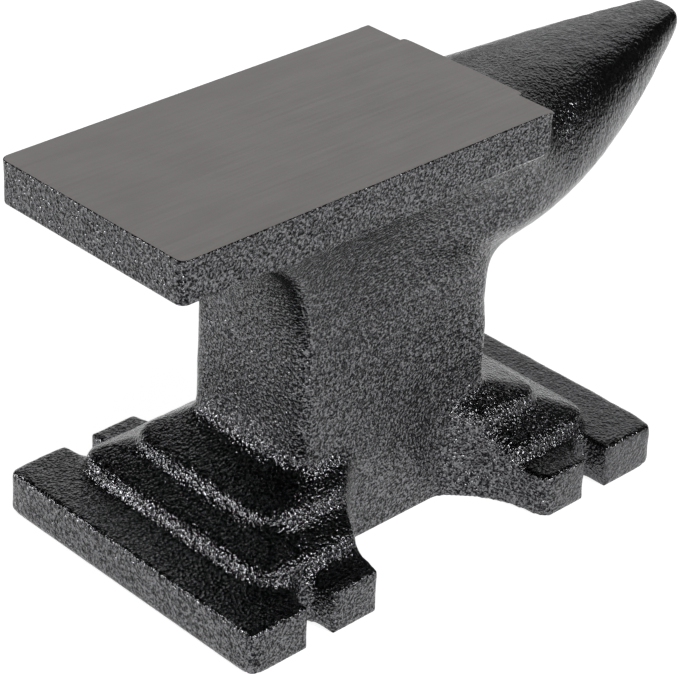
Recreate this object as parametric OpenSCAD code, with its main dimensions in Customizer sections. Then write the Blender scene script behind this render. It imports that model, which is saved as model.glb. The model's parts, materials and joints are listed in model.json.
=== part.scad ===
// Small bench anvil. The feet, the waist and the horn are one iron casting,
// and a flat steel plate on top of it is the working face.
// Origin: centre of the base underside, on the bench. +X points to the horn, +Z up.

/* [Overall] */
// Height from the bench to the working face
overall_h = 111; // [106:1:116]

/* [Face plate] */
// Length of the working face
face_l = 120; // [116:1:122]
// Width of the working face
face_w = 65; // [62:1:68]
// Thickness of the plate
face_t = 11.6; // [10:0.2:13]
// Distance from the heel end of the face to the middle of the waist
heel_reach = 83.7; // [81:0.1:86]
// Rounding of the plate's upright corners
plate_corner_r = 1.5; // [0.5:0.1:2.5]
// Rounding of the plate's two lower end edges
plate_edge_r = 1.2; // [0.6:0.1:3]
// How far the plate stands proud of the body beside the horn
plate_step = 0.7; // [0.2:0.1:1.2]

/* [Base] */
// Length of the base
base_l = 145.8; // [140:0.2:148]
// Width of the base over the feet
base_w = 93.3; // [90:0.1:96]
// Thickness of the feet at their rim
foot_t = 12.4; // [11:0.1:13]
// Rounding of the upright corners of the feet
foot_corner_r = 2; // [1:0.1:4]
// Radius of the round opening between the feet on each side
arch_r = 30.3; // [29:0.1:31.5]
// Rounding of the lug corner beside that opening, on the horn side
lug_corner_r = 3.5; // [1:0.1:4]
// Rounding of the lug corner beside that opening, on the heel side
heel_lug_corner_r = 1.2; // [1:0.1:4]
// Width of the open bolt slots
slot_w = 8.4; // [7:0.1:9]
// Depth of the bolt slots from the rim
slot_depth = 8.9; // [7:0.1:10]
// Distance between the middles of the two slots on one side
slot_pitch = 99.8; // [97:0.1:100.5]

/* [Steps] */
// Height of the top of the first riser
step1_h = 16.7; // [15.5:0.1:17.5]
// Height of the foot of the second riser
tread1_h = 20.5; // [19.5:0.1:21]
// Height of the top of the second riser
step2_h = 24.1; // [23:0.1:25]
// Height at which the upper tread meets the waist
tread2_h = 28.6; // [27:0.1:30]
// Half width over the first riser
step1_y = 36.4; // [35.5:0.1:37]
// Half length over the first riser
step1_x = 58.9; // [57:0.1:59.5]
// Half width over the second riser
step2_y = 27.5; // [26.5:0.1:28.5]
// Half length over the second riser
step2_x = 48.9; // [47:0.1:50]
// Inward lean of each riser
riser_draft = 1.2; // [0.4:0.1:1.6]
// Rounding of the step corners
step_corner_r = 11; // [7:0.5:12]

/* [Waist] */
// How far the waist, with all that it carries, stands from the middle of the base toward the heel
waist_offset = 0.45; // [0:0.05:1.5]
// Length of the waist
waist_l = 67.1; // [64:0.1:68]
// Width of the waist
waist_w = 41.3; // [40:0.1:43]
// Rounding of the waist's upright corners
waist_corner_r = 4; // [2:0.5:6]
// Height at which the waist begins to flare
flare_z = 58.5; // [55:0.5:62]
// Radius of the sweep under the heel
heel_sweep_r = 44.2; // [43.5:0.1:46]
// Radius of the sweep on the two long sides
side_sweep_r = 76.5; // [76.5:0.5:90]

/* [Horn] */
// Length of the horn beyond the face plate
horn_l = 81.5; // [75:0.5:88]
// Half width of the horn at its root
horn_root_y = 30.4; // [29.5:0.1:31.5]
// Half width of the horn at its tip
horn_tip_y = 5.6; // [4.5:0.1:6.5]
// Drop of the top of the horn below the face
horn_drop = 3.8; // [3:0.1:4.5]
// Height of the underside of the horn at its root
horn_root_z = 61; // [60:0.5:64]
// Height of the underside of the horn at its tip
horn_tip_z = 102; // [100:0.5:103]
// Length of the rounded nose at the tip
nose_l = 3; // [2:0.5:5]
// Half width of the ledge at the root that is level with the face
ledge_y = 21; // [18:0.5:23]
// Length of that level ledge
ledge_l = 1.2; // [1:0.2:3]

/* [Hidden] */
$fn = 64;

half_w = base_w / 2;
half_l = base_l / 2;
seat_z = overall_h - face_t;
face_end = face_l - heel_reach;
horn_top = overall_h - horn_drop;
// Length that every cross cut reaches over
reach = 300;
cut = 200;
// Height at which the waist starts to lean out under the horn, and the radius of that lean
throat_z = 65;
throat_r = 5;
// How far each lug corner's circle reaches into the opening and past the rim, so that they cross
bite = 0.03;
// Points on each rounded corner of the waist, and levels up its sweep
corner_steps = 6;
sweep_steps = 16;
// Points round the horn and stations along it
horn_sides = 48;
horn_steps = 20;
root_steps = 6;
// Fraction of the horn's length that its root runs back inside the waist
horn_start = 0.48;
// How much narrower the horn is at that hidden end
horn_start_in = 8;
// How its plan and its belly curve towards the tip
horn_side_power = 1.33;
horn_belly_power = 1.8;
// Height of its widest line, as a fraction of its depth
horn_widest = 0.456;
// How square its section is above and below that line, at root and tip
top_root_n = 2.3;
top_tip_n = 3.1;
low_root_n = 1.4;
low_tip_n = 2.3;
// How late along the horn its lower half turns square
low_n_power = 2;
// How much squarer its upper half is at the root, where it meets the waist, and how soon that fades
root_square = 2.5;
root_fade = 0.15;

// Outward sweep of a concave wall of radius r at height z
function sweep(z, r) = z <= flare_z ? 0 : r - sqrt(r * r - (z - flare_z) * (z - flare_z));

// How far the waist leans out under the horn at height z
function throat(z) = throat_r - sqrt(pow(throat_r, 2) - pow(max(0, min(z - throat_z, throat_r)), 2));

// Ring of points round a rectangle from x0 to x1 with half width hy and corner radius r
function rect_ring(x0, x1, hy, r, z) = [for (corner = [0 : 3]) for (k = [0 : corner_steps])
    let (
        a = 90 * (corner + k / corner_steps),
        cx = corner == 0 || corner == 3 ? x1 - r : x0 + r,
        cy = corner < 2 ? hy - r : r - hy
    )
    [cx + r * cos(a), cy + r * sin(a), z]];

// Size of a rounded section: u is a cosine or a sine, n is how square the section is
function squircle(u, n) = sign(u) * pow(abs(u), 2 / n);

// Half width of the horn at the fraction s of its length, where a negative s is inside the waist
function horn_half_w(s) = s < 0
    ? horn_root_y - horn_start_in * s * s / (horn_start * horn_start)
    : horn_tip_y + (horn_root_y - horn_tip_y) * (1 - pow(s, horn_side_power));

// Height of the underside of the horn at the fraction s of its length
function horn_low(s) = horn_root_z
    + (horn_tip_z - horn_root_z) * pow(max(s, 0), horn_belly_power);

// Ring of points round the horn at the fraction s of its length, shrunk by k for the nose
function horn_ring(s, k) = [for (i = [0 : horn_sides - 1])
    let (
        a = 360 * i / horn_sides,
        low = horn_low(s),
        mid = (horn_top + low) / 2,
        widest = low + horn_widest * (horn_top - low),
        upper = sin(a) >= 0,
        grown = max(s, 0),
        n = upper ? top_root_n + (top_tip_n - top_root_n) * grown
                + root_square * pow(max(0, 1 - grown / root_fade), 2)
            : low_root_n + (low_tip_n - low_root_n) * pow(grown, low_n_power),
        rise = upper ? horn_top - widest : widest - low,
        z = widest + rise * squircle(sin(a), n)
    )
    [face_end + horn_l * s, k * horn_half_w(s) * squircle(cos(a), n), mid + k * (z - mid)]];

// A solid through a stack of rings that all have the same number of points
module loft(rings) {
    n = len(rings[0]);
    last = len(rings) - 1;
    points = [for (ring = rings) for (point = ring) point];
    walls = [for (k = [0 : last - 1]) for (i = [0 : n - 1]) for (upper = [false, true])
        let (a = k * n + i, b = k * n + (i + 1) % n)
        upper ? [a, a + n, b + n] : [a, b + n, b]];
    bottom = [[for (i = [0 : n - 1]) i]];
    top = [[for (i = [n - 1 : -1 : 0]) last * n + i]];
    polyhedron(points, concat(bottom, walls, top));
}

// A flat rectangle with rounded corners, centred on the origin
module rounded_rect(size_x, size_y, r) {
    square([size_x - 2 * r, size_y], center = true);
    square([size_x, size_y - 2 * r], center = true);
    for (sx = [-1, 1], sy = [-1, 1])
        translate([sx * (size_x / 2 - r), sy * (size_y / 2 - r)]) circle(r);
}

// An outline in X and Z, made solid across the whole width
module along_y() {
    rotate([90, 0, 0]) linear_extrude(reach, center = true) children();
}

// An outline in Y and Z, made solid along the whole length
module along_x() {
    rotate([90, 0, 90]) linear_extrude(reach, center = true) children();
}

// A stepped outline, both halves alike, from its middle out to the rim at half_rim
module step_outline(half_rim, first, second, waist_half) {
    for (side = [0, 1])
        mirror([side, 0])
            polygon([
                [0, 0],
                [half_rim, 0],
                [half_rim, foot_t],
                [first + riser_draft, foot_t],
                [first, step1_h],
                [second + riser_draft, tread1_h],
                [second, step2_h],
                [waist_half - waist_offset - 0.5, tread2_h],
                [0, tread2_h]
            ]);
}

// The two feet with their sloping treads, before the openings are taken out
module stepped_block() {
    intersection() {
        along_x() step_outline(half_w, step1_y, step2_y, waist_w / 2);
        along_y() step_outline(half_l, step1_x, step2_x, waist_l / 2);
        union() {
            linear_extrude(foot_t) rounded_rect(base_l, base_w, foot_corner_r);
            linear_extrude(tread1_h)
                rounded_rect(2 * (step1_x + riser_draft), 2 * (step1_y + riser_draft), step_corner_r);
            linear_extrude(tread2_h)
                rounded_rect(2 * (step2_x + riser_draft), 2 * (step2_y + riser_draft), step_corner_r);
        }
    }
}

// Outline of the opening between the feet on one side, with its mouth eased by the lug corners
module arch_outline() {
    circle(arch_r);
    half_mouth(lug_corner_r);
    mirror([1, 0]) half_mouth(heel_lug_corner_r);
}

// What a lug corner of radius r opens beyond the round opening, on its +X side
module half_mouth(r) {
    ease_x = sqrt(pow(arch_r + r - bite, 2) - pow(r - bite, 2));
    difference() {
        polygon([[0, 1], [ease_x, 1], [ease_x, bite - r], [0, 0]]);
        translate([ease_x, bite - r]) circle(r);
    }
}

// One open bolt slot, with a round inner end
module slot_outline() {
    translate([0, -slot_depth + slot_w / 2]) circle(slot_w / 2);
    translate([-slot_w / 2, -slot_depth + slot_w / 2]) square([slot_w, slot_depth]);
}

// The feet: a stepped block less the two side openings and the four bolt slots
module feet() {
    difference() {
        stepped_block();
        for (side = [0, 1])
            mirror([0, side, 0])
                translate([0, half_w, -1])
                    linear_extrude(tread2_h + 2) {
                        arch_outline();
                        for (end = [-1, 1]) translate([end * slot_pitch / 2, 0]) slot_outline();
                    }
    }
}

// Plan of the waist at its widest: in line with the plate, then in towards the horn
module waist_plan() {
    near_horn = face_w / 2 - plate_step;
    polygon([
        [-cut, -face_w / 2],
        [0, -face_w / 2],
        [face_end, -near_horn],
        [face_end, near_horn],
        [0, face_w / 2],
        [-cut, face_w / 2]
    ]);
}

// The waist, straight up from the bench and then swept out under the face plate
module waist() {
    intersection() {
        linear_extrude(overall_h) waist_plan();
        swept_waist();
    }
}

// The stack of rounded rectangles that makes the waist's concave sweeps
module swept_waist() {
    loft([for (z = concat([0], [for (k = [0 : sweep_steps])
            flare_z + (seat_z - flare_z) * k / sweep_steps]))
        rect_ring(
            -waist_l / 2 - sweep(z, heel_sweep_r),
            min(waist_l / 2 + throat(z), face_end),
            waist_w / 2 + sweep(z, side_sweep_r),
            waist_corner_r,
            z)]);
}

// The horn, from its root inside the waist to its round nose
module horn() {
    straight = 1 - nose_l / horn_l;
    loft(concat(
        [for (k = [0 : root_steps - 1]) horn_ring(-horn_start * (1 - k / root_steps), 1)],
        [for (k = [0 : horn_steps]) horn_ring(straight * k / horn_steps, 1)],
        [for (e = [0.35, 0.65, 0.85, 0.96]) horn_ring(straight + (1 - straight) * e, sqrt(1 - e * e))]
    ));
}

// Ledge at the root of the horn that is level with the working face
module ledge() {
    translate([face_end, 0, 0])
        rotate([90, 0, 0])
            linear_extrude(2 * ledge_y, center = true)
                polygon([
                    [-1, seat_z - 5],
                    [-1, overall_h],
                    [ledge_l, overall_h],
                    [ledge_l + horn_drop, overall_h - horn_drop - 0.2],
                    [ledge_l + horn_drop, seat_z - 5]
                ]);
}

// The space that the face plate fills, with rounded upright corners and lower ends
module plate_solid() {
    mid_x = face_end - face_l / 2;
    intersection() {
        translate([mid_x, 0, seat_z])
            linear_extrude(face_t) rounded_rect(face_l, face_w, plate_corner_r);
        along_y() translate([mid_x, seat_z]) {
            translate([-face_l / 2, plate_edge_r]) square([face_l, face_t - plate_edge_r]);
            translate([-face_l / 2 + plate_edge_r, 0])
                square([face_l - 2 * plate_edge_r, face_t]);
            for (end = [-1, 1])
                translate([end * (face_l / 2 - plate_edge_r), plate_edge_r])
                    circle(plate_edge_r);
        }
    }
}

// The waist and all that it carries, moved to its place over the base
module over_base() {
    translate([-waist_offset, 0, 0]) children();
}

// The iron casting: feet, waist and horn in one piece
module cast_body() {
    color([0.13, 0.13, 0.14])
        difference() {
            union() {
                feet();
                over_base() {
                    waist();
                    horn();
                    ledge();
                }
            }
            over_base() plate_solid();
            translate([-cut, -cut, overall_h]) cube([2 * cut, 2 * cut, cut]);
        }
}

// The steel plate that is the working face
module face_plate() {
    color([0.43, 0.41, 0.4]) over_base() plate_solid();
}

cast_body();
face_plate();
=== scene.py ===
"""The looks of a small painted bench anvil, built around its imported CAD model. Metres, +X to the horn."""

import json
import math

import bmesh
import bpy
import numpy as np
from mathutils import Matrix, Vector, noise


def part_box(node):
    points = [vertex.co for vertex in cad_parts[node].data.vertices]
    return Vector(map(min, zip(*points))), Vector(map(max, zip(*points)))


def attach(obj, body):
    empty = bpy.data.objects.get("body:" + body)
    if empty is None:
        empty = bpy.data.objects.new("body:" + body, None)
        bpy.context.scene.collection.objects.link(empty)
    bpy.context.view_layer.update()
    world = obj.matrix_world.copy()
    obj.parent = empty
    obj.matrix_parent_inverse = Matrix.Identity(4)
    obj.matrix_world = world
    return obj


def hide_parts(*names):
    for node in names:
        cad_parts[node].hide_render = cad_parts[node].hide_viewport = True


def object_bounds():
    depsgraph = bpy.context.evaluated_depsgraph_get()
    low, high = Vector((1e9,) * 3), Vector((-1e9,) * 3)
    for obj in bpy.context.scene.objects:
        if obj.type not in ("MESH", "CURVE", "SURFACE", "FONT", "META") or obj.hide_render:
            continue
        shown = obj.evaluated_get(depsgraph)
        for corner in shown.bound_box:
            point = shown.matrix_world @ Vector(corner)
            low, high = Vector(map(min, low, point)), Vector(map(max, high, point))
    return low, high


MM = 0.001

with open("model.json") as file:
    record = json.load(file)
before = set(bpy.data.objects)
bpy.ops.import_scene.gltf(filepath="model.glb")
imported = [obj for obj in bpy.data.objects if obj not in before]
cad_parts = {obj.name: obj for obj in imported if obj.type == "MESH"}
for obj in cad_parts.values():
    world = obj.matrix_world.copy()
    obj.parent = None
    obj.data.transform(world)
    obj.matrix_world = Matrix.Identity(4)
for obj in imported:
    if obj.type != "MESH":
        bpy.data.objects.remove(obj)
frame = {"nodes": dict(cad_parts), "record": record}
cad_low, cad_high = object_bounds()
body_low, body_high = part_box("cast_body")
plate_low, plate_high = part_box("face_plate")

# Levels and planes that the pieces share, all from the CAD boxes
SEAT_Z = plate_low.z
FACE_Z = plate_high.z
FACE_END_X = plate_high.x

# Helper solids reach this far, well past the anvil on every side
CUT_REACH = 0.3

# Body mesh
VOXEL = 0.86 * MM
GROUND_BAND = 0.3 * MM
CORNER_REACH = 7.0 * MM
FACING = 0.99

# Lumps of the cast skin, the same on both pieces: size of the lumps and a shift of the noise
WIDE_LUMPS = (9 * MM, (3.1, 0.0, 0.0))
FINE_LUMPS = (3.2 * MM, (0.0, 7.7, 0.0))

# Plate mesh
GRID = 0.9 * MM
EDGE_STEPS = np.array([0.0, 0.12, 0.3, 0.55, 0.85, 1.2, 1.65, 2.2, 2.9]) * MM
PLATE_CORNER_R = 2.6 * MM
PLATE_END_R = 3.0 * MM
TOP_EDGE_R = 0.25 * MM
HORN_EDGE_R = 0.4 * MM

# The pale strip on the plate's fine edge at the horn end: wear through the paint, and also a painted
# highlight line along that edge
WEAR_AND_HIGHLIGHT_WIDTH = 0.28 * MM
WEAR_AND_HIGHLIGHT_FROM_X = 8 * MM
WEAR_AND_HIGHLIGHT_FULL_X = 24 * MM

# Studio
FLOOR_HALF = 6.0
FLOOR_GLOW = 0.85
FLOOR_FAR_GLOW = 0.06
LIT_FLOOR = (0.26, 0.75)
BACKDROP_TURN = 45.0
BACKDROP_SIDES = (0.80, 0.88)
BACKDROP_TOP = (0.78, 0.62)
BACKDROP_LIGHT = 0.85
HORIZON = (0.12, 0.0)
HORIZON_LIGHT = 0.25
ROOM_LIGHT = 0.06
BACKGROUND_LIGHT = 1.0

# Soft lights: degrees round from +X, degrees up, side length and radiance
LIGHT_REACH = 1.8
SOFT_BOXES = {
    "near_light": (-72.0, 30.0, 0.52, 16.0),
    "corner_light": (-135.0, 10.0, 0.36, 22.0),
    "heel_light": (138.0, 10.0, 0.48, 16.0),
}

# Camera: lens in mm, turn, tilt and roll in degrees
LENS = 143.953
SENSOR = 36.0
CAMERA_PLACE = (-0.425116, -0.419157, 0.400157)
CAMERA_TURN = -45.290
CAMERA_TILT = 30.716
CAMERA_ROLL = 2.929


# ---------------------------------------------------------------- mesh helpers


def linked(name, data):
    """A new object of that name in the scene."""
    obj = bpy.data.objects.new(name, data)
    bpy.context.scene.collection.objects.link(obj)
    return obj


def mesh_from(bm, name):
    """A new mesh with what bm holds. bm is used up."""
    mesh = bpy.data.meshes.new(name)
    bm.to_mesh(mesh)
    bm.free()
    return mesh


def applied(obj):
    """obj's mesh after its modifiers, as the object's own mesh."""
    graph = bpy.context.evaluated_depsgraph_get()
    graph.update()
    mesh = bpy.data.meshes.new_from_object(obj.evaluated_get(graph))
    obj.modifiers.clear()
    obj.data = mesh
    return obj


def box_object(name, low, high):
    """A helper box, used only to cut another mesh."""
    bm = bmesh.new()
    bmesh.ops.create_cube(bm, size=1.0)
    for v in bm.verts:
        for i in range(3):
            v.co[i] = low[i] if v.co[i] < 0 else high[i]
    return linked(name, mesh_from(bm, name))


def cut(obj, tool):
    """Takes the tool's room out of obj, and the tool out of the scene."""
    mod = obj.modifiers.new("cut", "BOOLEAN")
    mod.operation = "DIFFERENCE"
    mod.solver = "MANIFOLD"
    mod.object = tool
    applied(obj)
    bpy.data.objects.remove(tool)


def remesh(obj, voxel):
    mod = obj.modifiers.new("voxels", "REMESH")
    mod.mode = "VOXEL"
    mod.voxel_size = voxel
    mod.adaptivity = 0.0
    applied(obj)


def shade(mesh, crease_degrees):
    """Smooth shading, with sharp edges where faces meet at more than that angle."""
    mesh.polygons.foreach_set("use_smooth", [True] * len(mesh.polygons))
    mesh.set_sharp_from_angle(angle=math.radians(crease_degrees))


def points_of(mesh):
    co = np.zeros(len(mesh.vertices) * 3)
    mesh.vertices.foreach_get("co", co)
    return co.reshape(-1, 3)


def normals_of(mesh):
    n = np.zeros(len(mesh.vertices) * 3)
    mesh.vertices.foreach_get("normal", n)
    return n.reshape(-1, 3)


def set_points(mesh, co):
    mesh.vertices.foreach_set("co", co.ravel())
    mesh.update()


def edges_of(mesh):
    e = np.zeros(len(mesh.edges) * 2, int)
    mesh.edges.foreach_get("vertices", e)
    return e.reshape(-1, 2)


def pull_to_neighbours(co, edges):
    """For each vertex, the way from it to the mean of its neighbours."""
    n = len(co)
    a, b = edges[:, 0], edges[:, 1]
    count = np.bincount(a, minlength=n) + np.bincount(b, minlength=n)
    mean = np.empty_like(co)
    for i in range(3):
        total = np.bincount(a, co[b, i], n) + np.bincount(b, co[a, i], n)
        mean[:, i] = total / count
    return mean - co


def smooth(obj, weight, rounds):
    """Rounds every edge, inside and outside alike."""
    co, edges = points_of(obj.data), edges_of(obj.data)
    for _ in range(rounds):
        co += 0.5 * weight[:, None] * pull_to_neighbours(co, edges)
    set_points(obj.data, co)


def fill_corners(obj, weight, rounds):
    """Rounds only inside corners: a vertex may move outwards, never inwards."""
    rounds_per_normal = 8
    co, edges = points_of(obj.data), edges_of(obj.data)
    for i in range(rounds):
        if i % rounds_per_normal == 0:
            set_points(obj.data, co)
            normal = normals_of(obj.data)
        pull = pull_to_neighbours(co, edges)
        out = np.einsum("ij,ij->i", pull, normal)
        out = np.maximum(out, 0.0)
        co += 0.5 * (weight * out)[:, None] * normal
    set_points(obj.data, co)


def ramp(x, low, high):
    """0 below low, 1 above high, smooth between. low may be the larger, for a falling ramp."""
    t = np.clip((x - low) / (high - low), 0.0, 1.0)
    return t * t * (3 - 2 * t)


def noise_at(co, size, shift):
    """Smooth noise from -1 to 1 at each point, with lumps about that size."""
    scale = 1.0 / size
    return np.array([noise.noise(Vector(p * scale) + Vector(shift)) for p in co])


# ---------------------------------------------------------------- the casting


def build_casting():
    mesh = frame["nodes"]["cast_body"].data.copy()
    obj = linked("casting", mesh)
    mesh.materials.clear()
    weld = bmesh.new()
    weld.from_mesh(mesh)
    bmesh.ops.remove_doubles(weld, verts=weld.verts, dist=1e-6)
    weld.to_mesh(mesh)
    weld.free()
    fill_seat(obj)
    remesh(obj, VOXEL)
    round_casting(obj)
    lump(obj)
    set_back(obj)
    return obj


def round_casting(obj):
    """Fillets and soft corners. The number of rounds sets how wide each one gets."""
    co = points_of(obj.data)
    everywhere = np.ones(len(co))
    foot, foot_ends = waist_foot_weights(co)
    rim, corners = rim_weights(co)
    steps = ramp(co[:, 2], 13 * MM, 14.5 * MM) * ramp(co[:, 2], 32 * MM, 28 * MM)
    root = horn_root_weight(co)
    fill_corners(obj, everywhere, rounds=6)
    fill_corners(obj, foot, rounds=25)
    fill_corners(obj, foot_ends, rounds=220)
    smooth(obj, steps, rounds=16)
    smooth(obj, rim, rounds=4)
    smooth(obj, corners, rounds=10)
    fill_corners(obj, root, rounds=160)
    smooth(obj, root, rounds=60)
    smooth(obj, everywhere, rounds=4)


def waist_foot_weights(co):
    """Where the waist stands on the treads, all round and at its two ends, from 0 to 1 at each point."""
    x, z = np.abs(co[:, 0]), co[:, 2]
    foot = ramp(z, 23 * MM, 27 * MM) * ramp(z, 50 * MM, 40 * MM)
    return foot, foot * ramp(x, 29 * MM, 34 * MM)


def rim_weights(co):
    """The rims of the lugs and their upright corners, from 0 to 1 at each point, less near the floor."""
    x, y, z = np.abs(co[:, 0]), np.abs(co[:, 1]), co[:, 2]
    openings = frame["record"]["physics"]["openings"]
    arch_end = next(o for o in openings if o["name"] == "arch_near")["box_m"][1][0]
    body_end, side_y = -body_low.x, body_high.y
    inner_reach = 0.4 * CORNER_REACH
    low_part = ramp(z, 16 * MM, 13 * MM)
    off_floor = ramp(z, 1 * MM, 4 * MM)
    rim = ramp(y, side_y - 3 * MM, side_y - 1 * MM) * low_part * off_floor
    end = ramp(x, body_end - CORNER_REACH, body_end - inner_reach)
    lug = ramp(x, arch_end + CORNER_REACH, arch_end + inner_reach)
    side = ramp(y, side_y - CORNER_REACH, side_y - inner_reach)
    corners = np.maximum(end, 0.6 * lug) * side * low_part * (0.4 + 0.6 * off_floor)
    return rim, corners


def horn_root_weight(co):
    """Where the horn grows out of the throat under the plate's end, from 0 to 1 at each point."""
    past_end, z = co[:, 0] - FACE_END_X, co[:, 2]
    root = ramp(past_end, -36 * MM, -22 * MM) * ramp(past_end, 30 * MM, 12 * MM)
    return root * (ramp(z, 46 * MM, 56 * MM) * ramp(z, SEAT_Z + 1 * MM, SEAT_Z - 6 * MM))


def faces_on(bm, axis, side, level):
    """The faces in the plane at that level across an axis that look to its + or - side."""
    near = 0.01 * MM
    looking = [f for f in bm.faces if f.normal[axis] * side > FACING]
    return [f for f in looking if abs(f.calc_center_median()[axis] - level) < near]


def fill_seat(obj):
    """Carries the casting on past its cut faces, so that their outlines are crisp once they are cut again."""
    bm = bmesh.new()
    bm.from_mesh(obj.data)
    seat = faces_on(bm, 2, 1, SEAT_Z)
    ledge = faces_on(bm, 2, 1, FACE_Z)
    wall = faces_on(bm, 0, -1, FACE_END_X)
    add_prism(bm, seat, Vector((0, 0, 3 * MM)))
    add_prism(bm, ledge, Vector((0, 0, 3 * MM)))
    add_prism(bm, wall, Vector((-4 * MM, 0, 0)))
    bm.to_mesh(obj.data)
    bm.free()


def add_prism(bm, faces, way):
    """A closed solid over those faces, from a little inside the casting to the end of way."""
    copied = bmesh.ops.duplicate(bm, geom=faces)["geom"]
    base = [g for g in copied if isinstance(g, bmesh.types.BMFace)]
    verts = {v for f in base for v in f.verts}
    bmesh.ops.translate(bm, verts=list(verts), vec=-0.25 * way)
    grown = bmesh.ops.extrude_face_region(bm, geom=base, use_keep_orig=True)["geom"]
    moved = [g for g in grown if isinstance(g, bmesh.types.BMVert)]
    bmesh.ops.translate(bm, verts=moved, vec=1.25 * way)
    shell = {f for v in moved for f in v.link_faces} | set(base)
    bmesh.ops.recalc_face_normals(bm, faces=list(shell))


def lump(obj):
    """The uneven skin of a sand casting. The flat underside keeps its own."""
    co, normal = points_of(obj.data), normals_of(obj.data)
    wide, fine = noise_at(co, *WIDE_LUMPS), noise_at(co, *FINE_LUMPS)
    off_floor = ramp(co[:, 2], 0.2 * MM, 2.0 * MM)
    room = np.minimum(co - np.array(body_low), np.array(body_high) - co)[:, :2].min(axis=1)
    inward = 0.12 * ramp(room, 0.6 * MM, 0.2 * MM)
    depth = (0.16 * wide + 0.09 * fine - inward) * MM * off_floor
    set_points(obj.data, co + depth[:, None] * normal)


def plate_place():
    """The room that the face plate takes from the casting, with its round lower corner at the horn end."""
    far, r, steps = CUT_REACH, PLATE_END_R, 12
    cx, cz = FACE_END_X - r, SEAT_Z + r
    outline = [(-far, SEAT_Z)]
    for i in range(steps + 1):
        a = math.radians(-90 + 90 / steps * i)
        outline.append((cx + r * math.cos(a), cz + r * math.sin(a)))
    outline += [(FACE_END_X, far), (-far, far)]
    bm = bmesh.new()
    near = [bm.verts.new((x, -far, z)) for x, z in outline]
    off = [bm.verts.new((x, far, z)) for x, z in outline]
    bm.faces.new(near)
    bm.faces.new(off[::-1])
    for i in range(len(outline)):
        j = (i + 1) % len(outline)
        bm.faces.new([near[j], near[i], off[i], off[j]])
    bmesh.ops.recalc_face_normals(bm, faces=bm.faces)
    return linked("plate_place", mesh_from(bm, "plate_place"))


def set_back(obj):
    """Cuts the place of the face plate, grinds the ledge flat and keeps the mesh in the CAD box."""
    co = points_of(obj.data)
    flat = co[:, 2] < GROUND_BAND
    co[flat, 2] = 0.0
    co[:, 0] = np.clip(co[:, 0], body_low.x, body_high.x)
    co[:, 1] = np.clip(co[:, 1], body_low.y, body_high.y)
    set_points(obj.data, co)
    far = CUT_REACH
    cut(obj, plate_place())
    cut(obj, box_object("above", (-far, -far, FACE_Z), (far, far, far)))
    shade(obj.data, crease_degrees=45)


# ---------------------------------------------------------------- the face plate


def build_plate():
    lines = [grid_lines(plate_low[i], plate_high[i]) for i in range(3)]
    obj = linked("working_face", grid_box("working_face", lines))
    co = points_of(obj.data)
    round_upright_corners(co)
    round_horn_corner(co)
    round_horn_edge(co)
    round_lower_edge(co)
    round_top_edge(co)
    set_points(obj.data, co)
    lump_plate_sides(obj)
    shade(obj.data, crease_degrees=40)
    return obj


def grid_lines(low, high):
    """Grid lines along one side of the plate, close together near both edges."""
    middle_low = low + EDGE_STEPS[-1] + GRID
    middle_high = high - EDGE_STEPS[-1] - GRID
    count = max(2, round((middle_high - middle_low) / GRID) + 1)
    middle = np.linspace(middle_low, middle_high, count)
    return np.concatenate([low + EDGE_STEPS, middle, (high - EDGE_STEPS)[::-1]])


def grid_box(name, lines):
    """A closed box with a grid on each of its six sides, from the grid lines along x, y and z."""
    last = [len(line) - 1 for line in lines]
    bm = bmesh.new()
    made = {}

    def vert(key):
        if key not in made:
            made[key] = bm.verts.new([lines[i][key[i]] for i in range(3)])
        return made[key]

    for axis in range(3):
        u, v = (axis + 1) % 3, (axis + 2) % 3
        for side in (0, last[axis]):
            for i in range(last[u]):
                for j in range(last[v]):
                    corners = [(i, j), (i + 1, j), (i + 1, j + 1), (i, j + 1)]
                    if side == 0:
                        corners.reverse()
                    keys = []
                    for a, b in corners:
                        key = [0, 0, 0]
                        key[axis], key[u], key[v] = side, a, b
                        keys.append(tuple(key))
                    bm.faces.new([vert(k) for k in keys])
    return mesh_from(bm, name)


def round_off(a, b):
    """Turns a square corner round: a and b are the distances from the inner corner."""
    big = np.maximum(a, b)
    length = np.maximum(np.hypot(a, b), 1e-9)
    return a * big / length, b * big / length


def inside_outline(q, r):
    """Each point's distance inside an outline of two sides and a round corner, and the way outwards.

    q is how far a point lies past the centre of the corner of radius r, towards each of the two sides.
    """
    outside = np.maximum(q, 0.0)
    length = np.hypot(outside[:, 0], outside[:, 1])
    distance = r - length - np.minimum(q.max(1), 0.0)
    straight = np.where((q[:, 0] > q[:, 1])[:, None], [1.0, 0.0], [0.0, 1.0])
    corner = outside / np.maximum(length, 1e-9)[:, None]
    return distance, np.where((length > 1e-9)[:, None], corner, straight)


def round_upright_corners(co):
    """Round in plan at the heel, and square at the horn end."""
    r = PLATE_CORNER_R
    low, high = np.array(plate_low)[:2], np.array(plate_high)[:2]
    inner = np.clip(co[:, :2], low + r, (high[0], high[1] - r))
    away = co[:, :2] - inner
    sign = np.sign(away)
    a, b = round_off(np.abs(away[:, 0]), np.abs(away[:, 1]))
    co[:, :2] = inner + sign * np.stack([a, b], 1)


def round_horn_corner(co):
    """The lower corner at the horn end, round in side view over the plate's whole width."""
    r = PLATE_END_R
    away_x = co[:, 0] - (FACE_END_X - r)
    away_z = (SEAT_Z + r) - co[:, 2]
    near = (away_x > 0) & (away_z > 0)
    a, b = round_off(away_x[near], away_z[near])
    co[near, 0] = FACE_END_X - r + a
    co[near, 2] = SEAT_Z + r - b


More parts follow.
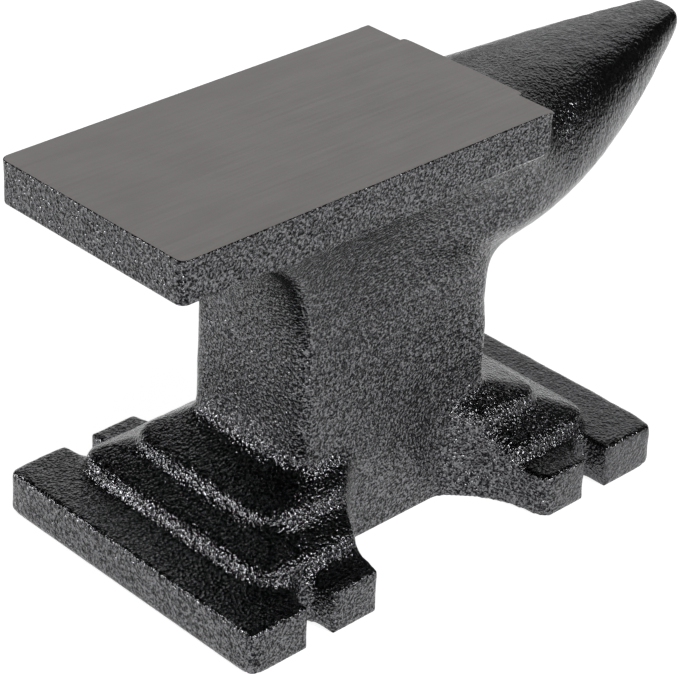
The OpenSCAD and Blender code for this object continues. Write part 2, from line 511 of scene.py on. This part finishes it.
def round_horn_edge(co):
    """The fine round edge along the proud part of the plate at the horn end, seen from the side."""
    r = PLATE_END_R
    q = np.stack([co[:, 0] - (FACE_END_X - r), (SEAT_Z + r) - co[:, 2]], 1)
    depth, way = inside_outline(q, r)
    side = plate_high.y - np.abs(co[:, 1])
    radius = HORN_EDGE_R * ramp(co[:, 0], -8 * MM, 8 * MM) + 1e-9
    near = (depth < radius) & (side < radius)
    a, b = round_off((radius - depth)[near], (radius - side)[near])
    moved = radius[near] - a - depth[near]
    co[near, 0] -= way[near, 0] * moved
    co[near, 2] += way[near, 1] * moved
    sign = np.sign(co[near, 1])
    co[near, 1] = sign * (plate_high.y - (radius[near] - b))


def edge_of_plan(co):
    """How far each point is inside the plate's outline in plan, and the way outwards. Not at the horn end."""
    r = PLATE_CORNER_R
    low, high = np.array(plate_low)[:2], np.array(plate_high)[:2]
    middle_y, half_y = (low[1] + high[1]) / 2, (high[1] - low[1]) / 2
    q = np.stack([low[0] + r - co[:, 0], np.abs(co[:, 1] - middle_y) - (half_y - r)], 1)
    distance, way = inside_outline(q, r)
    return distance, way * np.stack([np.full(len(co), -1.0), np.sign(co[:, 1] - middle_y)], 1)


def round_edge(co, radius, height, direction):
    """Rounds the plate's edge at that height: direction is 1 for the lower edge and -1 for the upper one."""
    distance, way = edge_of_plan(co)
    up = (co[:, 2] - height) * direction
    near = (distance < radius) & (up < radius) & (co[:, 0] < FACE_END_X - PLATE_END_R)
    a, b = round_off((radius - distance)[near], (radius - up)[near])
    moved = radius[near] - a - distance[near]
    co[near, :2] -= way[near] * moved[:, None]
    co[near, 2] = height + direction * (radius[near] - b)


def round_lower_edge(co):
    """Round under the overhanging heel, and nearly square where the plate sits on the casting."""
    heel = ramp(co[:, 0], plate_low.x + 30 * MM, plate_low.x + 22 * MM)
    round_edge(co, (0.06 + 0.8 * heel) * MM, SEAT_Z, 1.0)


def round_top_edge(co):
    round_edge(co, np.full(len(co), TOP_EDGE_R), FACE_Z, -1.0)


def lump_plate_sides(obj):
    """The painted sides are as cast: shallow hollows, never outside the plate's outline."""
    co, normal = points_of(obj.data), normals_of(obj.data)
    wide, fine = noise_at(co, *WIDE_LUMPS), noise_at(co, *FINE_LUMPS)
    side = ramp(np.hypot(normal[:, 0], normal[:, 1]), 0.7, 0.95)
    below_top = ramp(co[:, 2], FACE_Z - 0.5 * MM, FACE_Z - 2.0 * MM)
    depth = np.minimum(0.0, 0.12 * wide + 0.08 * fine - 0.08) * MM * side * below_top
    set_points(obj.data, co + depth[:, None] * normal)


# ---------------------------------------------------------------- materials


class Nodes:
    """A short way to write a node tree."""

    def __init__(self, tree):
        self.tree = tree
        tree.nodes.clear()
        self.coordinates = self.add("TexCoord").outputs
        self.place = self.coordinates["Object"]

    def add(self, kind, links=None, **settings):
        """A new node. links gives each input, by name or number, a socket or a plain value."""
        node = self.tree.nodes.new("ShaderNode" + kind)
        for key, value in settings.items():
            setattr(node, key, value)
        for key, value in (links or {}).items():
            if isinstance(value, bpy.types.NodeSocket):
                self.tree.links.new(value, node.inputs[key])
            else:
                node.inputs[key].default_value = value
        return node

    def noise(self, scale, detail=2.0, roughness=0.5, place=None):
        links = {"Scale": scale, "Detail": detail, "Roughness": roughness}
        links["Vector"] = place or self.place
        return self.add("TexNoise", links).outputs["Fac"]

    def math(self, operation, a, b=0.0):
        return self.add("Math", {0: a, 1: b}, operation=operation).outputs[0]

    def ramp(self, value, low, high, to_low=0.0, to_high=1.0, smooth=False):
        links = {"Value": value, "From Min": low, "From Max": high}
        links.update({"To Min": to_low, "To Max": to_high})
        kind = "SMOOTHSTEP" if smooth else "LINEAR"
        return self.add("MapRange", links, interpolation_type=kind).outputs["Result"]

    def mix_colour(self, factor, a, b):
        colour_sockets = {0: factor, 6: a, 7: b}
        return self.add("Mix", colour_sockets, data_type="RGBA").outputs[2]

    def place_x(self):
        """How far along +X the point is, in metres."""
        return self.add("SeparateXYZ", {0: self.place}).outputs["X"]

    def seen(self):
        """1 for what the camera sees directly, 0 for reflections and light."""
        return self.add("LightPath").outputs["Is Camera Ray"]

    def bump(self, height, strength, distance):
        links = {"Height": height, "Strength": strength, "Distance": distance}
        return self.add("Bump", links).outputs["Normal"]

    def surface(self, shader):
        out = self.add("OutputMaterial")
        self.tree.links.new(shader.outputs[0], out.inputs["Surface"])

    def metal(self, **sockets):
        """Ends a material: one shader, with its sockets by name."""
        names = {key.replace("_", " "): value for key, value in sockets.items()}
        self.surface(self.add("BsdfPrincipled", names))


def new_material(name):
    material = bpy.data.materials.new(name)
    material.use_nodes = True
    return material, Nodes(material.node_tree)


def hammered_paint():
    """Glossy grey hammer finish: relief and bright flecks about a millimetre across, softer on the horn."""
    body_dark, body_pale = (0.008, 0.008, 0.009, 1.0), (0.195, 0.195, 0.204, 1.0)
    horn_dark, horn_pale = (0.048, 0.048, 0.050, 1.0), (0.135, 0.135, 0.142, 1.0)
    far_horn_relief = 0.45
    material, n = new_material("hammered_paint")
    x = n.place_x()
    horn = n.ramp(x, FACE_END_X - 4 * MM, FACE_END_X + 12 * MM, smooth=True)
    far_horn = n.ramp(x, FACE_END_X + 16 * MM, FACE_END_X + 40 * MM, smooth=True)
    relief = n.noise(1200.0, detail=1.5)
    ripples = n.noise(620.0, detail=1.0)
    flecks = n.math("MULTIPLY", n.math("ADD", n.noise(2300.0, detail=1.0), relief), 0.5)
    bright = n.math("POWER", n.ramp(flecks, 0.42, 0.60), 1.4)
    dark = n.mix_colour(horn, body_dark, horn_dark)
    pale = n.mix_colour(horn, body_pale, horn_pale)
    colour = n.mix_colour(bright, dark, pale)
    fine = n.math("MULTIPLY", relief, n.ramp(far_horn, 0.0, 1.0, 1.0, far_horn_relief))
    height = n.math("ADD", fine, n.math("MULTIPLY", ripples, 0.5))
    normal = n.bump(height, strength=1.0, distance=0.5 * MM)
    n.metal(Base_Color=colour, Metallic=1.0, Roughness=0.16, Normal=normal)
    return material


def bare_edge():
    """Metal dulled by handling, where wear has taken the paint off a sharp edge; its pale colour is also a
    painted highlight along that edge.
    """
    # The pale colour is partly wear and partly a painted highlight line on the edge
    painted, bare_and_highlight = (0.08, 0.08, 0.083, 1.0), (0.65, 0.65, 0.64, 1.0)
    material, n = new_material("bare_edge")
    along = n.ramp(n.place_x(), WEAR_AND_HIGHLIGHT_FROM_X, WEAR_AND_HIGHLIGHT_FULL_X)
    # Painted highlight as well as wear: pale in flecks, and paler towards the horn end
    wear_and_highlight = n.math("MULTIPLY", n.ramp(n.noise(900.0), 0.35, 0.6), along)
    n.metal(Base_Color=n.mix_colour(wear_and_highlight, painted, bare_and_highlight), Metallic=0.2, Roughness=0.45)
    return material


def ground_steel():
    """Ground steel with fine marks along the plate, a little askew, and faint clouds."""
    dark, pale = (0.30, 0.285, 0.275, 1.0), (0.40, 0.38, 0.37, 1.0)
    stretch, askew = (40.0, 1600.0, 300.0), (0.0, 0.0, 0.06)
    material, n = new_material("ground_steel")
    long = n.add("Mapping", {"Vector": n.place, "Scale": stretch, "Rotation": askew}).outputs["Vector"]
    marks = n.noise(1.0, detail=4.0, roughness=0.65, place=long)
    cloud = n.noise(60.0, detail=3.0)
    tone = n.math("ADD", n.math("MULTIPLY", marks, 0.35), n.math("MULTIPLY", cloud, 0.65))
    rough = n.ramp(marks, 0.3, 0.7, 0.42, 0.52)
    normal = n.bump(marks, strength=0.25, distance=0.04 * MM)
    n.metal(Base_Color=n.mix_colour(tone, dark, pale), Roughness=rough, Metallic=1.0, Normal=normal)
    return material


# ---------------------------------------------------------------- scene


def paint_faces(obj, materials):
    """Paint everywhere but on the ground faces and the plate's fine proud edge at the horn end, which gets
    the pale strip of wear and painted highlight.
    """
    mesh = obj.data
    mesh.materials.clear()
    for material in materials:
        mesh.materials.append(material)
    for p in mesh.polygons:
        p.material_index = 0
        if p.normal.z > FACING and p.center.z > FACE_Z - 0.05 * MM:
            p.material_index = 1
        elif on_wear_and_highlight(p.center):
            p.material_index = 2


def on_wear_and_highlight(point):
    """Whether a point of the plate lies on the fine edge that round_horn_edge makes."""
    if point.x < WEAR_AND_HIGHLIGHT_FROM_X or point.x > FACE_END_X or point.z < SEAT_Z:
        return False
    if not 0.0 <= plate_high.y - abs(point.y) <= WEAR_AND_HIGHLIGHT_WIDTH:
        return False
    away_x = max(point.x - (FACE_END_X - PLATE_END_R), 0.0)
    away_z = max(SEAT_Z + PLATE_END_R - point.z, 0.0)
    return math.hypot(away_x, away_z) > PLATE_END_R - WEAR_AND_HIGHLIGHT_WIDTH and point.z < FACE_Z


def make_floor():
    """A pale floor, lit round the anvil and dim further off. The camera sees it pale all over."""
    bm = bmesh.new()
    s = FLOOR_HALF
    corners = [(-s, -s, 0), (s, -s, 0), (s, s, 0), (-s, s, 0)]
    bm.faces.new([bm.verts.new(c) for c in corners])
    floor = linked("floor", mesh_from(bm, "floor"))
    material, n = new_material("floor")
    away = n.add("VectorMath", {0: n.place}, operation="LENGTH").outputs["Value"]
    lit = n.ramp(away, *LIT_FLOOR, FLOOR_GLOW, FLOOR_FAR_GLOW, smooth=True)
    strength = n.math("MAXIMUM", lit, n.math("MULTIPLY", n.seen(), FLOOR_GLOW))
    matt = n.add("BsdfDiffuse", {"Color": (0.8, 0.8, 0.8, 1.0)})
    glow = n.add("Emission", {"Color": (1.0, 1.0, 1.0, 1.0), "Strength": strength})
    n.surface(n.add("AddShader", {0: matt.outputs[0], 1: glow.outputs[0]}))
    floor.data.materials.append(material)


def make_world():
    """A dim room with a bright backdrop behind the anvil's far corner. The camera sees it pale all over."""
    world = bpy.data.worlds.new("studio")
    bpy.context.scene.world = world
    world.use_nodes = True
    n = Nodes(world.node_tree)
    x, y, z = n.add("SeparateXYZ", {0: n.coordinates["Generated"]}).outputs
    flat = n.math("SQRT", n.math("ADD", n.math("MULTIPLY", x, x), n.math("MULTIPLY", y, y)))
    turn = math.radians(BACKDROP_TURN)
    along_x = n.math("MULTIPLY", x, math.cos(turn))
    along_y = n.math("MULTIPLY", y, math.sin(turn))
    facing = n.math("DIVIDE", n.math("ADD", along_x, along_y), flat)
    sides = n.ramp(facing, *BACKDROP_SIDES, smooth=True)
    top = n.ramp(z, *BACKDROP_TOP, smooth=True)
    backdrop = n.math("MULTIPLY", n.math("MULTIPLY", sides, top), BACKDROP_LIGHT)
    horizon = n.math("MULTIPLY", n.ramp(z, *HORIZON, smooth=True), HORIZON_LIGHT)
    light = n.math("ADD", n.math("ADD", backdrop, horizon), ROOM_LIGHT)
    light = n.math("MAXIMUM", light, n.math("MULTIPLY", n.seen(), BACKGROUND_LIGHT))
    back = n.add("Background", {"Strength": light})
    n.add("OutputWorld", {"Surface": back.outputs[0]})


def soft_box(name, turn, rise, size, radiance):
    """A square soft light that far round from +X and that high, in degrees, aimed at the anvil's middle."""
    data = bpy.data.lights.new(name, "AREA")
    data.shape = "RECTANGLE"
    data.size, data.size_y = size, size
    data.energy = radiance * math.pi * size * size
    obj = linked(name, data)
    t, e = math.radians(turn), math.radians(rise)
    way = Vector((math.cos(t) * math.cos(e), math.sin(t) * math.cos(e), math.sin(e)))
    middle = (cad_low + cad_high) / 2
    obj.location = middle + LIGHT_REACH * way
    obj.rotation_euler = way.to_track_quat("Z", "Y").to_euler()
    obj.visible_camera = False


def make_camera():
    data = bpy.data.cameras.new("camera")
    obj = linked("camera", data)
    data.sensor_width = SENSOR
    data.lens = LENS
    data.clip_start, data.clip_end = 0.01, 50.0
    turn, tilt, roll = math.radians(CAMERA_TURN), math.radians(CAMERA_TILT), math.radians(CAMERA_ROLL)
    forward = Vector((-math.sin(turn) * math.cos(tilt), math.cos(turn) * math.cos(tilt), -math.sin(tilt)))
    level = forward.cross(Vector((0, 0, 1))).normalized()
    upright = level.cross(forward)
    right = level * math.cos(roll) + upright * math.sin(roll)
    up = right.cross(forward)
    rows = [(right[i], up[i], -forward[i], CAMERA_PLACE[i]) for i in range(3)]
    obj.matrix_world = Matrix(rows + [(0, 0, 0, 1)])
    bpy.context.scene.camera = obj


def add_piece(obj, node, materials):
    """Puts a finished mesh in the place of its CAD node."""
    paint_faces(obj, materials)
    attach(obj, "root")
    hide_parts(node)


def main():
    materials = hammered_paint(), ground_steel(), bare_edge()
    add_piece(build_casting(), "cast_body", materials)
    add_piece(build_plate(), "face_plate", materials)
    make_floor()
    make_world()
    for name, (turn, rise, size, radiance) in SOFT_BOXES.items():
        soft_box(name, turn, rise, size, radiance)
    make_camera()
    bpy.context.scene.view_settings.view_transform = "Standard"


main()
